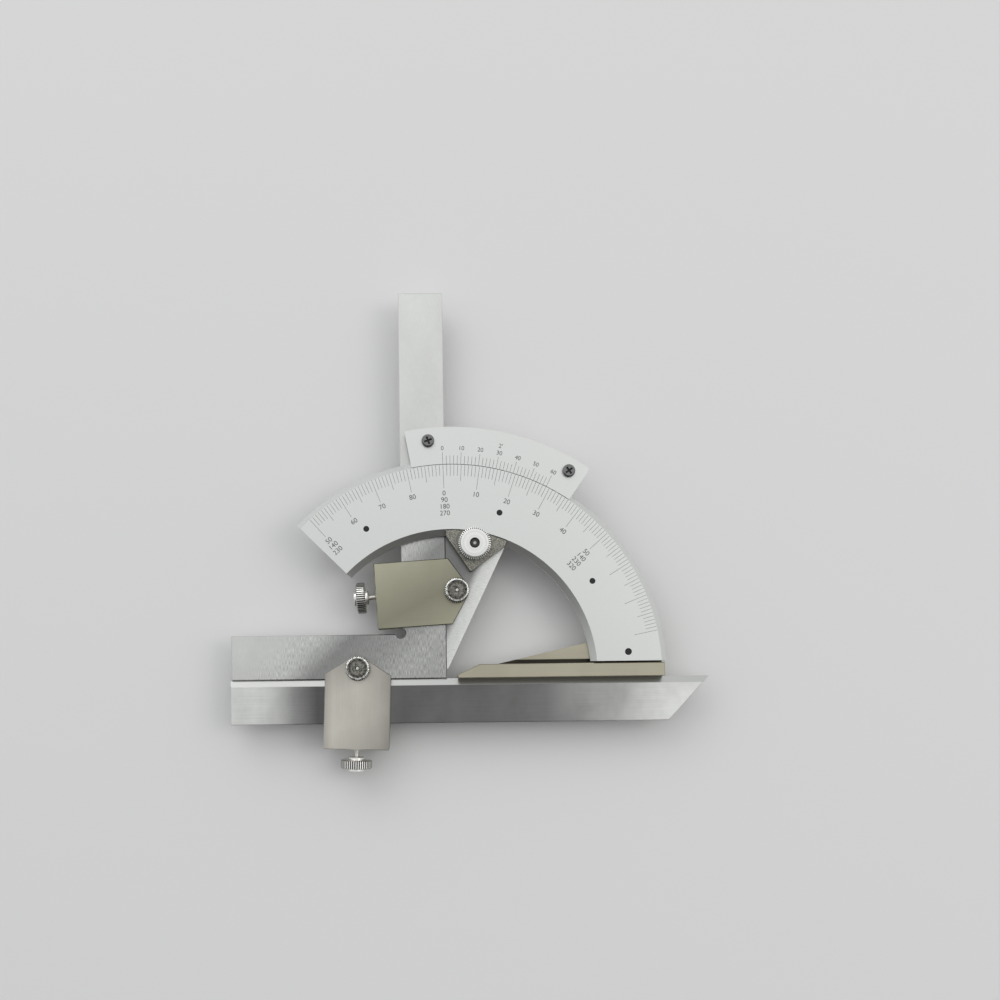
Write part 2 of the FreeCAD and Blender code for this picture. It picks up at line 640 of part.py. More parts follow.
def thumbscrew():
    tip = pin_reach + SHOE_GAP + SHOE_LENGTH - SHOE_SOCKET
    collar = clamp_length + THUMB_SHANK_SHOWN
    head = collar + THUMB_COLLAR_LENGTH
    head_end = head + THUMB_HEAD_LENGTH
    end = head_end + THUMB_COLLAR_LENGTH
    shank = disc(THUMB_SHANK_RADIUS, Vector(0, 0, 0), tip, collar)
    spindle = turned([(0, collar), (THUMB_COLLAR_RADIUS - EDGE_BREAK, collar),
                      (THUMB_COLLAR_RADIUS, collar + EDGE_BREAK),
                      (THUMB_COLLAR_RADIUS, end - EDGE_BREAK),
                      (THUMB_COLLAR_RADIUS - EDGE_BREAK, end), (0, end)])
    band = knurled_band(THUMB_HEAD_RADIUS, THUMB_TEETH, head, head_end)
    screw = fused(shank, spindle, band)
    screw.rotate(Vector(0, 0, 0), Vector(0, 1, 0), -QUARTER_TURN)
    screw.translate(Vector(0, 0, RULE_THICKNESS / 2))
    return screw


def lock_pin():
    head_low = cheek_high + SLIDE_GAP
    head_high = head_low + PIN_HEAD_HEIGHT
    centre = Vector(0, 0, 0)
    shank = disc(PIN_RADIUS, centre, cheek_low, head_low)
    head = knurled_band(PIN_HEAD_RADIUS, PIN_TEETH, head_low, head_high)
    pin = fused(shank, head)
    floor = head_high - PIN_DISH_DEPTH
    dish = turned([(0, floor), (PIN_DISH_RADIUS - EDGE_BREAK, floor),
                   (PIN_DISH_RADIUS, head_high), (0, head_high)])
    nub = disc(PIN_NUB_RADIUS, centre, floor, head_high - EDGE_BREAK)
    return fused(pin.cut(dish), nub)


def placed(shape, pin, turn):
    shape.rotate(Vector(0, 0, 0), Vector(0, 0, 1), turn)
    shape.translate(pin)
    return shape


def clamp_set(name, pin, turn):
    return {name + "_clamp": placed(clamp_housing(), pin, turn),
            name + "_shoe": placed(clamp_shoe(), pin, turn),
            name + "_thumbscrew": placed(thumbscrew(), pin, turn),
            name + "_lock_pin": placed(lock_pin(), pin, turn)}


def all_parts():
    parts = {"arc_plate": arc_plate(),
             "toothed_ring": toothed_ring(),
             "ring_rivets": rivets(),
             "base_rule": base_rule(),
             "base_screw": base_screw(),
             "base_dowels": base_dowels(),
             "sector_plate": sector_plate(),
             "vernier_plate": vernier_plate(),
             "vernier_screws": vernier_screws(),
             "brake_pad": brake_pad(),
             "pad_pins": pad_pins(),
             "pinion_bush": pinion_bush(),
             "pinion_shaft": pinion_shaft(),
             "back_knob": back_knob(),
             "knob_screw": knob_screw(),
             "brake_washer": brake_washer(),
             "brake_nut": brake_nut(),
             "square": square(),
             "straight_rule": straight_rule()}
    parts.update(clamp_set("upper", upper_pin, UPPER_CLAMP_TURN))
    parts.update(clamp_set("lower", lower_pin, QUARTER_TURN + LOWER_CLAMP_TURN))
    return parts


os.makedirs("parts", exist_ok=True)
for node, shape in all_parts().items():
    shape.exportStep("parts/" + node + ".step")
    print(node, len(shape.Solids), round(shape.Volume, 2), shape.isValid())
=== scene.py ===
import math
import bmesh
import bpy
from mathutils import Matrix, Vector


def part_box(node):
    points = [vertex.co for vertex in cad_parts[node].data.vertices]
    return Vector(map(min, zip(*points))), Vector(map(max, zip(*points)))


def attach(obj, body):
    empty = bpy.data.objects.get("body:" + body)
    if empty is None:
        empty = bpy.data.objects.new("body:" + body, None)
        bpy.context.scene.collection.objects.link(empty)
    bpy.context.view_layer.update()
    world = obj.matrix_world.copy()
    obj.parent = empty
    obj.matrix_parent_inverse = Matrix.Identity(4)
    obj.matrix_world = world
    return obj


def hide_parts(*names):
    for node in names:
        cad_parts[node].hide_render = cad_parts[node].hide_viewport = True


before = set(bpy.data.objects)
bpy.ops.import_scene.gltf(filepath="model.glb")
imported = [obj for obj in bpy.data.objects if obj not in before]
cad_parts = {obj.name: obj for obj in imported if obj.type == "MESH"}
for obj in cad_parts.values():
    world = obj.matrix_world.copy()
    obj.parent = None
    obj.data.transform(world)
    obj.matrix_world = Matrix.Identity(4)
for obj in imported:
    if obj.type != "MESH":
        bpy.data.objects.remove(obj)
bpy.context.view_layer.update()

# Metres. Bearings are degrees clockwise from +Y, as the arc is graduated.
MM = 0.001

# Main scale
ZERO_BEARING = -1.7
FIRST_DEGREE = -40
LAST_DEGREE = 80
LAST_NUMBERED = 50
MARK_OUTER = 91.7 * MM
MARK_SHORT = 86.9 * MM
MARK_FIVE = 84.7 * MM
MARK_TEN = 81.5 * MM
MARK_WIDTH = 0.14 * MM
MARK_DEPTH = 0.03 * MM
ROW_RADII = (79.3 * MM, 76.4 * MM, 73.5 * MM, 70.6 * MM)
DIGIT_SIZE = 3.0 * MM
QUARTER_TURN = 90
LONG_ROWS = (-40, 0, 50)

# Vernier
VERNIER_DIVISIONS = 30
VERNIER_SPAN = 29.0
VERNIER_INNER = 92.1 * MM
VERNIER_SHORT = 95.7 * MM
VERNIER_LONG = 97.1 * MM
VERNIER_NUMBER = 98.9 * MM
VERNIER_UNIT = 102.0 * MM
VERNIER_DIGIT_SIZE = 2.6 * MM

# Fasteners
SCREW_CIRCLE = 102.5 * MM
SCREW_BEARINGS = (-5.1, 30.5)
SCREW_TURNS = (20, 35)
HEAD_RADIUS = 2.75 * MM
SHANK_RADIUS = 1.5 * MM
HEAD_EDGE = 0.5 * MM
CROSS_REACH = 1.75 * MM
CROSS_HALF = 0.42 * MM
CROSS_DEPTH = 0.8 * MM
HEAD_THICKNESS = 0.88 * MM
SLOT_DEPTH = 0.5 * MM
SLOT_ANGLE = 12
SLOT_STEPS = 16
SLOT_INSET = 0.01 * MM
KNOB_SHANK = 0.99 * MM
CIRCLE_STEPS = 48
THREAD_DEPTH = 0.2 * MM
THREAD_PITCH = 0.45 * MM
THREAD_START = 35.8 * MM
THREAD_LENGTH = 3.15 * MM
THREAD_CORE = 1.05 * MM
THREAD_COLUMNS = 24
THREAD_ROWS_PER_TURN = 8
TIP_RADIUS = 1.25 * MM
TIP_LENGTH = 7.8 * MM
TIP_CENTRE = 31.7 * MM
CLAMP_TURNS = {"upper": 183.5, "lower": 268.0}

# Knurled pieces, drawn from their axis as (radius, height, groove depth)
WHEEL_START = 39.0 * MM
WHEEL_TEETH = 44
WHEEL_PROFILE = [(1.05, 0, 0), (3.0, 0, 0), (3.4, 0.4, 0), (3.4, 1.1, 0), (3.9, 1.3, 0),
                 (5.9, 1.3, 0), (6.3, 1.35, 0.1), (6.9, 1.8, 0.55), (6.9, 4.8, 0.55),
                 (6.3, 5.25, 0.1), (5.9, 5.3, 0), (3.9, 5.3, 0), (3.5, 5.5, 0),
                 (3.5, 6.2, 0), (3.1, 6.5, 0)]
PIN_TEETH = 40
PIN_BASE = 6.3 * MM
PIN_PROFILE = [(2.0, -8.3, 0), (2.0, 0, 0), (4.7, 0, 0), (5.1, 0.15, 0.1), (5.5, 0.6, 0.5),
               (5.5, 3.5, 0.5), (5.1, 4.05, 0.25), (4.8, 4.2, 0), (4.4, 4.2, 0), (4.1, 3.4, 0),
               (1.0, 3.4, 0), (0.6, 3.9, 0)]
NUT_TEETH = 46
NUT_BASE = 9.9 * MM
NUT_PROFILE = [(2.05, 0, 0), (6.0, 0, 0), (6.3, 0.2, 0), (6.3, 0.55, 0), (6.6, 0.7, 0.1),
               (7.0, 1.1, 0.6), (7.0, 2.8, 0.6), (6.4, 3.12, 0.35), (6.15, 3.2, 0),
               (6.05, 3.75, 0), (5.8, 3.95, 0), (5.4, 4.0, 0), (2.3, 4.0, 0), (2.05, 3.8, 0)]
COLUMNS_PER_TOOTH = 4

# Surfaces
SHARP_ANGLE = math.radians(28)
CLOUD_SIZE = (30 * MM, 45 * MM, 30 * MM)
PATCH_SIZE = 0.9 * MM
BRUSH_DEPTH = 0.003 * MM
TURNING_DEPTH = 0.01 * MM
FINE_RING = 0.25 * MM
BROAD_RING = 0.9 * MM
PIN_REACH = 5.5 * MM
NUT_REACH = 7.0 * MM
STUD_REACH = 1.9 * MM
ALONG_X = (25 * MM, 0.12 * MM, 1 * MM)
ALONG_Y = (0.12 * MM, 25 * MM, 1 * MM)

# Floor and light: place and size in metres, power in watts
FLOOR_DROP = 0.2 * MM
FLOOR_SIZE = 6.0
FLOOR_GREY = 0.8
KEY_LIGHT = ((-0.6, 1.1, 0.9), (1.2, 0.8), 4.0)
FILL_LIGHT = ((0.9, 0.2, 1.0), (0.6, 0.6), 2.0)
WARM_LIGHT = (1.0, 0.97, 0.92)
SKY = [(0.0, (0.04, 0.04, 0.04)), (0.3, (0.25, 0.25, 0.25)), (0.46, (0.8, 0.81, 0.81)),
       (0.75, (0.95, 0.96, 0.96)), (1.0, (0.75, 0.76, 0.77))]

# Camera
CAMERA_NADIR = Vector((-12.5 * MM, 0.2 * MM))
CAMERA_HEIGHT = 455 * MM
CAMERA_TURN = math.radians(-0.7)
CAMERA_LENS = 36.8
CAMERA_SHIFT = (0.077, 0.175)
SENSOR_WIDTH = 36.0
CLIP_START = 0.01


def polar(radius, bearing, height=0.0):
    angle = math.radians(bearing)
    return Vector((radius * math.sin(angle), radius * math.cos(angle), height))


def centre_of(node):
    low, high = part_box(node)
    return (low + high) / 2


def finished(name, bm, material, body):
    mesh = bpy.data.meshes.new(name)
    bmesh.ops.recalc_face_normals(bm, faces=bm.faces)
    bm.to_mesh(mesh)
    bm.free()
    piece = bpy.data.objects.new(name, mesh)
    bpy.context.scene.collection.objects.link(piece)
    mesh.materials.append(material)
    mesh.shade_smooth()
    mesh.set_sharp_from_angle(angle=SHARP_ANGLE)
    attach(piece, body)
    return piece


# Materials
def blank_material(name, metallic, roughness):
    material = bpy.data.materials.new(name)
    material.use_nodes = True
    shader = material.node_tree.nodes["Principled BSDF"]
    shader.inputs["Metallic"].default_value = metallic
    shader.inputs["Roughness"].default_value = roughness
    return material, material.node_tree, shader


def object_coordinates(tree, turn, scale, shift=(0, 0, 0)):
    coordinates = tree.nodes.new("ShaderNodeTexCoord")
    mapping = tree.nodes.new("ShaderNodeMapping")
    mapping.vector_type = "TEXTURE"
    mapping.inputs["Location"].default_value = shift
    mapping.inputs["Rotation"].default_value = (0, 0, turn)
    mapping.inputs["Scale"].default_value = scale
    tree.links.new(coordinates.outputs["Object"], mapping.inputs["Vector"])
    return mapping.outputs["Vector"]


def noise(tree, vector, detail=3.0, roughness=0.6):
    texture = tree.nodes.new("ShaderNodeTexNoise")
    texture.inputs["Scale"].default_value = 1.0
    texture.inputs["Detail"].default_value = detail
    texture.inputs["Roughness"].default_value = roughness
    tree.links.new(vector, texture.inputs["Vector"])
    return texture.outputs["Fac"]


def ramp(tree, value, stops):
    colours = tree.nodes.new("ShaderNodeValToRGB")
    elements = colours.color_ramp.elements
    while len(elements) < len(stops):
        elements.new(0.5)
    for element, (position, colour) in zip(elements, stops):
        element.position = position
        element.color = (*colour, 1)
    tree.links.new(value, colours.inputs["Fac"])
    return colours.outputs["Color"]


def multiplied(tree, first, second):
    mix = tree.nodes.new("ShaderNodeMix")
    mix.data_type = "RGBA"
    mix.blend_type = "MULTIPLY"
    mix.inputs[0].default_value = 1.0
    tree.links.new(first, mix.inputs[6])
    tree.links.new(second, mix.inputs[7])
    return mix.outputs[2]


def bumped(tree, shader, value, distance, strength=1.0):
    bump = tree.nodes.new("ShaderNodeBump")
    bump.inputs["Distance"].default_value = distance
    bump.inputs["Strength"].default_value = strength
    tree.links.new(value, bump.inputs["Height"])
    tree.links.new(bump.outputs["Normal"], shader.inputs["Normal"])


def shaded(colour, factor):
    return tuple(channel * factor for channel in colour)


def sheen(tree, turn, start, span, stops):
    along = object_coordinates(tree, turn, (span, span, span), start)
    split = tree.nodes.new("ShaderNodeSeparateXYZ")
    tree.links.new(along, split.inputs["Vector"])
    greys = [(position, (grey,) * 3) for position, grey in stops]
    return ramp(tree, split.outputs["X"], greys)


def faded(tree, lines, place):
    level = tree.nodes.new("ShaderNodeMix")
    level.data_type = "FLOAT"
    level.inputs[2].default_value = 0.5
    tree.links.new(sheen(tree, *place), level.inputs[0])
    tree.links.new(lines, level.inputs[3])
    return level.outputs[0]


def overlaid(tree, tint, place, colour):
    mix = tree.nodes.new("ShaderNodeMix")
    mix.data_type = "RGBA"
    mix.inputs[7].default_value = (*colour, 1)
    tree.links.new(sheen(tree, *place), mix.inputs[0])
    tree.links.new(tint, mix.inputs[6])
    return mix.outputs[2]


def brushed(name, colour, roughness, grain, turn=0.0, streak=0.14, cloud=0.12, painted_light_ramps=(),
            fade=None, bevel_reflection=None):
    material, tree, shader = blank_material(name, 1.0, roughness)
    lines = noise(tree, object_coordinates(tree, turn, grain))
    if fade:
        lines = faded(tree, lines, fade)
    clouds = noise(tree, object_coordinates(tree, 0, CLOUD_SIZE), 4.0)
    fine = ramp(tree, lines, [(0.3, shaded(colour, 1 - streak)), (0.7, shaded(colour, 1 + streak / 2))])
    broad = ramp(tree, clouds, [(0.35, (1 - cloud,) * 3), (0.65, (1, 1, 1))])
    tint = multiplied(tree, fine, broad)
    # Multiply in the ramps of painted light and painted shade.
    for place in painted_light_ramps:
        tint = multiplied(tree, tint, sheen(tree, *place))
    # Lay a lighter painted reflection over the masked strip.
    if bevel_reflection:
        tint = overlaid(tree, tint, bevel_reflection, shaded(colour, BEVEL_REFLECTION_TONE))
    tree.links.new(tint, shader.inputs["Base Color"])
    bumped(tree, shader, lines, BRUSH_DEPTH)
    return material


def speckled(name, colour, roughness, grain_size, depth, metallic, contrast):
    material, tree, shader = blank_material(name, metallic, roughness)
    grains = noise(tree, object_coordinates(tree, 0, (grain_size,) * 3), 5.0, 0.7)
    stops = [(0.35, shaded(colour, 1 - contrast)), (0.65, shaded(colour, 1 + contrast))]
    tree.links.new(ramp(tree, grains, stops), shader.inputs["Base Color"])
    bumped(tree, shader, grains, depth)
    return material


def turned_face(name, axis, stops, reach, roughness, ring=FINE_RING, mottle=0.0, metallic=1.0):
    material, tree, shader = blank_material(name, metallic, roughness)
    flat = object_coordinates(tree, 0, (1, 1, 1), (axis.x, axis.y, 0))
    level = tree.nodes.new("ShaderNodeVectorMath")
    level.operation = "MULTIPLY"
    level.inputs[1].default_value = (1, 1, 0)
    length = tree.nodes.new("ShaderNodeVectorMath")
    length.operation = "LENGTH"
    share = tree.nodes.new("ShaderNodeMath")
    share.operation = "DIVIDE"
    share.inputs[1].default_value = reach
    tree.links.new(flat, level.inputs[0])
    tree.links.new(level.outputs["Vector"], length.inputs[0])
    tree.links.new(length.outputs["Value"], share.inputs[0])
    zones = ramp(tree, share.outputs["Value"], stops)
    rings = tree.nodes.new("ShaderNodeTexNoise")
    rings.noise_dimensions = "1D"
    rings.inputs["Scale"].default_value = 1 / ring
    tree.links.new(length.outputs["Value"], rings.inputs["W"])
    turning = ramp(tree, rings.outputs["Fac"], [(0.3, (0.8, 0.8, 0.8)), (0.7, (1, 1, 1))])
    patches = noise(tree, object_coordinates(tree, 0, (PATCH_SIZE,) * 3), 3.0, 0.7)
    mottling = ramp(tree, patches, [(0.38, (1 - mottle,) * 3), (0.62, (1 + mottle,) * 3)])
    tint = multiplied(tree, multiplied(tree, zones, turning), mottling)
    tree.links.new(tint, shader.inputs["Base Color"])
    bumped(tree, shader, rings.outputs["Fac"], TURNING_DEPTH)
    return material


def lock_pin_material(name, node):
    # Tones by radius on the pin's top: a painted glint on the dome at the centre, painted shade over the
    # recessed face and darkest on the rim's inner wall, and the rim bright.
    dark = (0.07, 0.068, 0.06)
    middle = (0.2, 0.195, 0.175)
    bright = (0.8, 0.79, 0.75)
    stops = [(0.0, bright), (0.1, bright), (0.15, middle), (0.5, middle), (0.72, dark), (0.76, bright)]
    return turned_face(name, centre_of(node), stops, PIN_REACH, 0.34, mottle=0.65)


def nut_material():
    # Tones by radius on the nut: painted shade down the bore, a near-white face of bright nickel with
    # its highlight painted in, and a thin ring of painted shade at the step near the rim.
    bore_shade = (0.2, 0.2, 0.19)
    pale = (0.97, 0.97, 0.95)
    stops = [(0.0, bore_shade), (0.3, bore_shade), (0.33, pale), (0.86, pale), (0.885, shaded(pale, 0.45)),
             (0.91, pale)]
    return turned_face("nut_nickel", centre_of("brake_nut"), stops, NUT_REACH, 0.28, BROAD_RING,
                       metallic=0.45)


def stud_material():
    glint = (0.55, 0.55, 0.53)
    dark = (0.07, 0.07, 0.068)
    stops = [(0.0, glint), (0.2, glint), (0.45, dark), (1.0, dark)]
    return turned_face("stud_steel", centre_of("pinion_shaft"), stops, STUD_REACH, 0.3)


# Metal colours, and the directions of the ramps of painted light and shade
PALE = (0.72, 0.735, 0.72)
STEEL = (0.66, 0.665, 0.65)
WARM = (0.60, 0.56, 0.44)
UP = math.radians(90)
TO_CORNER = math.radians(135)
ACROSS_SECTOR = math.radians(-25.6)

# Painted light and shade: turn, start and span of a ramp over the piece, then its stops as (position,
# tone)
# Rule: painted reflection and painted shade along its length, light at both ends and dark in the middle.
RULE_PAINTED_LIGHT = (0.0, (-97 * MM, 0, 0), 210 * MM,
              [(0.0, 1.3), (0.07, 1.22), (0.13, 0.5), (0.18, 0.2), (0.3, 0.32), (0.5, 0.26),
               (0.66, 0.32), (0.8, 0.85), (0.92, 1.25)])
# Rule's bevelled strip: mask and tone of a painted reflection laid over it.
RULE_BEVEL_REFLECTION = (UP, (0, -12 * MM, 0), 20 * MM, [(0.0, 0.0), (0.38, 0.0), (0.39, 1.0), (1.0, 1.0)])
BEVEL_REFLECTION_TONE = 0.74
SQUARE_RAMP = (TO_CORNER, (-2 * MM, -1.4 * MM, 0), 126 * MM)
# Square: painted highlights and painted shade along the ramp towards the corner.
SQUARE_PAINTED_LIGHT = (*SQUARE_RAMP,
                [(0.0, 0.8), (0.14, 0.84), (0.22, 0.6), (0.34, 0.52), (0.42, 1.05), (0.5, 1.15),
                 (0.6, 1.25), (1.0, 1.3)])
SQUARE_FADE = (*SQUARE_RAMP,
               [(0.0, 1.0), (0.2, 1.0), (0.3, 0.35), (0.44, 0.9), (0.52, 0.12), (1.0, 0.08)])
# Sector: painted reflection, dark at the start of the ramp and bright at its end.
SECTOR_PAINTED_LIGHT = (ACROSS_SECTOR, (-14.4 * MM, 6.9 * MM, 0), 14 * MM,
                [(0.0, 0.34), (0.4, 0.42), (0.6, 1.1), (1.0, 1.3)])
# Clamps: painted light and painted shade over their faces, and darker painted sides on the lower clamp.
UPPER_PAINTED_LIGHT = (math.radians(-62), (-33 * MM, 50 * MM, 0), 46 * MM,
               [(0.0, 0.83), (0.25, 0.64), (0.55, 0.46), (0.85, 0.64), (1.0, 1.0)])
LOWER_PAINTED_LIGHT = (math.radians(-70), (-50 * MM, 6 * MM, 0), 46 * MM,
               [(0.0, 0.7), (0.3, 1.0), (0.6, 1.05), (1.0, 0.85)])
LOWER_SIDES_PAINTED_LIGHT = (0.0, (-56 * MM, 0, 0), 30 * MM,
               [(0.0, 0.8), (0.12, 1.1), (0.5, 1.05), (0.8, 0.85), (1.0, 0.6)])
# Base: a painted shadow stripe over the groove between the bar and the flange, with a painted tone on
# either side.
BASE_PAINTED_LIGHT = (UP, (0, -2 * MM, 0), 20 * MM,
              [(0.0, 0.82), (0.325, 0.82), (0.34, 0.08), (0.415, 0.08), (0.43, 0.75), (1.0, 0.85)])

satin_chrome = speckled("satin_chrome", PALE, 0.42, 0.25 * MM, 0.002 * MM, 1.0, 0.03)
square_steel = brushed("square_steel", STEEL, 0.3, (0.17 * MM, 2.6 * MM, 1 * MM), 0.0, 0.6, 0.12,
                       [SQUARE_PAINTED_LIGHT], SQUARE_FADE)
sector_steel = brushed("sector_steel", STEEL, 0.3, (2.5 * MM, 0.14 * MM, 1 * MM), math.radians(-12),
                       0.26, 0.1, [SECTOR_PAINTED_LIGHT])
rule_steel = brushed("rule_steel", STEEL, 0.31, ALONG_X, 0.0, 0.14, 0.3, [RULE_PAINTED_LIGHT],
                     bevel_reflection=RULE_BEVEL_REFLECTION)
base_nickel = brushed("base_nickel", WARM, 0.34, ALONG_X, 0.0, 0.08, 0.1, [BASE_PAINTED_LIGHT])
upper_nickel = brushed("upper_nickel", (0.62, 0.60, 0.46), 0.32, ALONG_X, math.radians(3.5), 0.06,
                       0.12, [UPPER_PAINTED_LIGHT])
lower_nickel = brushed("lower_nickel", (0.64, 0.61, 0.55), 0.32, ALONG_Y, math.radians(-2.0), 0.08,
                       0.15, [LOWER_PAINTED_LIGHT, LOWER_SIDES_PAINTED_LIGHT])
bright_nickel = speckled("bright_nickel", (0.88, 0.87, 0.84), 0.28, 0.4 * MM, 0.002 * MM, 1.0, 0.04)
dark_steel = speckled("dark_steel", (0.06, 0.06, 0.058), 0.35, 0.3 * MM, 0.004 * MM, 1.0, 0.1)
coarse_pad = speckled("coarse_pad", (0.26, 0.255, 0.225), 0.5, 0.38 * MM, 0.12 * MM, 0.9, 0.85)
black_screw = speckled("black_screw", (0.02, 0.02, 0.02), 0.42, 0.3 * MM, 0.003 * MM, 0.4, 0.2)
head_steel = speckled("head_steel", (0.2, 0.2, 0.2), 0.3, 0.3 * MM, 0.003 * MM, 0.9, 0.2)
# Near-black tone for the knurl grooves: painted shade.
painted_groove_shade = speckled("painted_groove_shade", (0.04, 0.04, 0.038), 0.4, 0.3 * MM, 0.003 * MM, 1.0, 0.2)
bronze = speckled("bronze", (0.5, 0.32, 0.14), 0.35, 0.3 * MM, 0.003 * MM, 1.0, 0.06)
mark_black = speckled("mark_black", (0.07, 0.07, 0.07), 0.6, 0.3 * MM, 0.001 * MM, 0.0, 0.1)

NODE_MATERIALS = {
    "arc_plate": satin_chrome,
    "vernier_plate": satin_chrome,
    "toothed_ring": dark_steel,
    "ring_rivets": black_screw,
    "base_screw": black_screw,
    "base_rule": base_nickel,
    "base_dowels": dark_steel,
    "sector_plate": sector_steel,
    "vernier_screws": black_screw,
    "brake_pad": coarse_pad,
    "pad_pins": dark_steel,
    "pinion_bush": bronze,
    "pinion_shaft": stud_material(),
    "back_knob": bright_nickel,
    "knob_screw": black_screw,
    "brake_washer": dark_steel,
    "brake_nut": nut_material(),
    "square": square_steel,
    "straight_rule": rule_steel,
    "upper_clamp": upper_nickel,
    "lower_clamp": lower_nickel,
    "upper_shoe": dark_steel,
    "lower_shoe": dark_steel,
    "upper_thumbscrew": bright_nickel,
    "lower_thumbscrew": bright_nickel,
    "upper_lock_pin": lock_pin_material("upper_pin_face", "upper_lock_pin"),
    "lower_lock_pin": lock_pin_material("lower_pin_face", "lower_lock_pin"),
}


def dress_nodes():
    for node, material in NODE_MATERIALS.items():
        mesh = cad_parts[node].data
        mesh.materials.clear()
        mesh.materials.append(material)
        mesh.shade_smooth()
        mesh.set_sharp_from_angle(angle=SHARP_ANGLE)


# Graduations
def add_mark(bm, bearing, inner, outer, top):
    middle = polar((inner + outer) / 2, bearing, top)
    size = Matrix.Diagonal((MARK_WIDTH, outer - inner, MARK_DEPTH, 1))
    turn = Matrix.Rotation(-math.radians(bearing), 4, "Z")
    bmesh.ops.create_cube(bm, size=1.0, matrix=Matrix.Translation(middle) @ turn @ size)


def add_number(bm, text, size, radius, bearing, top):
    curve = bpy.data.curves.new("number", "FONT")
    curve.body = text
    curve.size = size
    curve.extrude = MARK_DEPTH / 2
    curve.align_x = "CENTER"
    curve.align_y = "CENTER"
    holder = bpy.data.objects.new("number", curve)
    bpy.context.scene.collection.objects.link(holder)
    bpy.context.view_layer.update()
    drawn = holder.evaluated_get(bpy.context.evaluated_depsgraph_get())
    mesh = bpy.data.meshes.new_from_object(drawn)
    turn = Matrix.Rotation(-math.radians(bearing), 4, "Z")
    mesh.transform(Matrix.Translation(polar(radius, bearing, top)) @ turn)
    bm.from_mesh(mesh)
    bpy.data.objects.remove(holder)
    bpy.data.curves.remove(curve)
    bpy.data.meshes.remove(mesh)


def main_marks():
    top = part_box("arc_plate")[1].z
    bm = bmesh.new()
    for degree in range(FIRST_DEGREE, LAST_DEGREE + 1):
        inner = MARK_SHORT
        if degree % 5 == 0:
            inner = MARK_FIVE
        if degree % 10 == 0:
            inner = MARK_TEN
        add_mark(bm, ZERO_BEARING + degree, inner, MARK_OUTER, top)
    finished("scale_lines", bm, mark_black, "scale_body")


def main_numbers():
    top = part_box("arc_plate")[1].z
    bm = bmesh.new()
    for degree in range(FIRST_DEGREE, LAST_NUMBERED + 1, 10):
        reading = degree if degree >= 0 else degree + QUARTER_TURN
        rows = 1
        if degree in LONG_ROWS:
            rows = 4 if degree >= 0 else 3
        for row in range(rows):
            text = str(reading + QUARTER_TURN * row)
            add_number(bm, text, DIGIT_SIZE, ROW_RADII[row], ZERO_BEARING + degree, top)
    bmesh.ops.remove_doubles(bm, verts=bm.verts, dist=1e-7)
    finished("scale_numbers", bm, mark_black, "scale_body")


def vernier_marks():
    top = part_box("vernier_plate")[1].z
    step = VERNIER_SPAN / VERNIER_DIVISIONS
    bm = bmesh.new()
    for division in range(VERNIER_DIVISIONS + 1):
        outer = VERNIER_LONG if division % 5 == 0 else VERNIER_SHORT
        add_mark(bm, ZERO_BEARING + division * step, VERNIER_INNER, outer, top)
    finished("vernier_lines", bm, mark_black, "sector")


def vernier_numbers():
    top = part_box("vernier_plate")[1].z
    step = VERNIER_SPAN / VERNIER_DIVISIONS
    bm = bmesh.new()
    for division in range(0, VERNIER_DIVISIONS + 1, 5):
        bearing = ZERO_BEARING + division * step
        add_number(bm, str(2 * division), VERNIER_DIGIT_SIZE, VERNIER_NUMBER, bearing, top)
    middle = ZERO_BEARING + VERNIER_SPAN / 2
    add_number(bm, "2'", VERNIER_DIGIT_SIZE, VERNIER_UNIT, middle, top)
    bmesh.ops.remove_doubles(bm, verts=bm.verts, dist=1e-7)
    finished("vernier_numbers", bm, mark_black, "sector")


# Cross-head screws of the vernier
def ring_of(bm, points):
    verts = [bm.verts.new(point) for point in points]
    return verts, [bm.edges.new((verts[i - 1], verts[i])) for i in range(len(verts))]


def wall(bm, lower, upper):
    return [bm.faces.new((lower[i - 1], lower[i], upper[i], upper[i - 1]))
            for i in range(len(lower))]


def cap(bm, rings):
    bm.faces.new(rings[0])
    bm.faces.new(rings[-1])


def cross_outline():
    reach, half = CROSS_REACH, CROSS_HALF
    arm = [(half, half), (half, reach), (-half, reach)]
    points = []
    for quarter in range(4):
        turn = Matrix.Rotation(math.radians(QUARTER_TURN * quarter), 2)
        points += [turn @ Vector(corner) for corner in arm]
    return points


def add_cross_head(bm, centre, radius, low, high, turn):
    def circle(reach, height):
        return [centre + polar(reach, 360 / CIRCLE_STEPS * step, height) for step in range(CIRCLE_STEPS)]
    spin = Matrix.Rotation(turn, 2)
    cross = [spin @ point for point in cross_outline()]
    foot, _ = ring_of(bm, circle(radius, low))
    shoulder, _ = ring_of(bm, circle(radius, high - HEAD_EDGE))
    crown, crown_edges = ring_of(bm, circle(radius - HEAD_EDGE, high))
    mouth, mouth_edges = ring_of(bm, [centre + Vector((p.x, p.y, high)) for p in cross])
    floor, _ = ring_of(bm, [centre + Vector((p.x, p.y, high - CROSS_DEPTH)) for p in cross])
    bm.faces.new(foot)
    wall(bm, foot, shoulder)
    wall(bm, shoulder, crown)
    bmesh.ops.triangle_fill(bm, use_beauty=True, edges=crown_edges + mouth_edges)
    # The recess walls and floor below take the blacker second material: painted shade inside the cross
    # recess.
    shown = len(bm.faces)
    wall(bm, mouth, floor)
    bm.faces.new(floor)
    bm.faces.ensure_lookup_table()
    for face in bm.faces[shown:]:
        face.material_index = 1


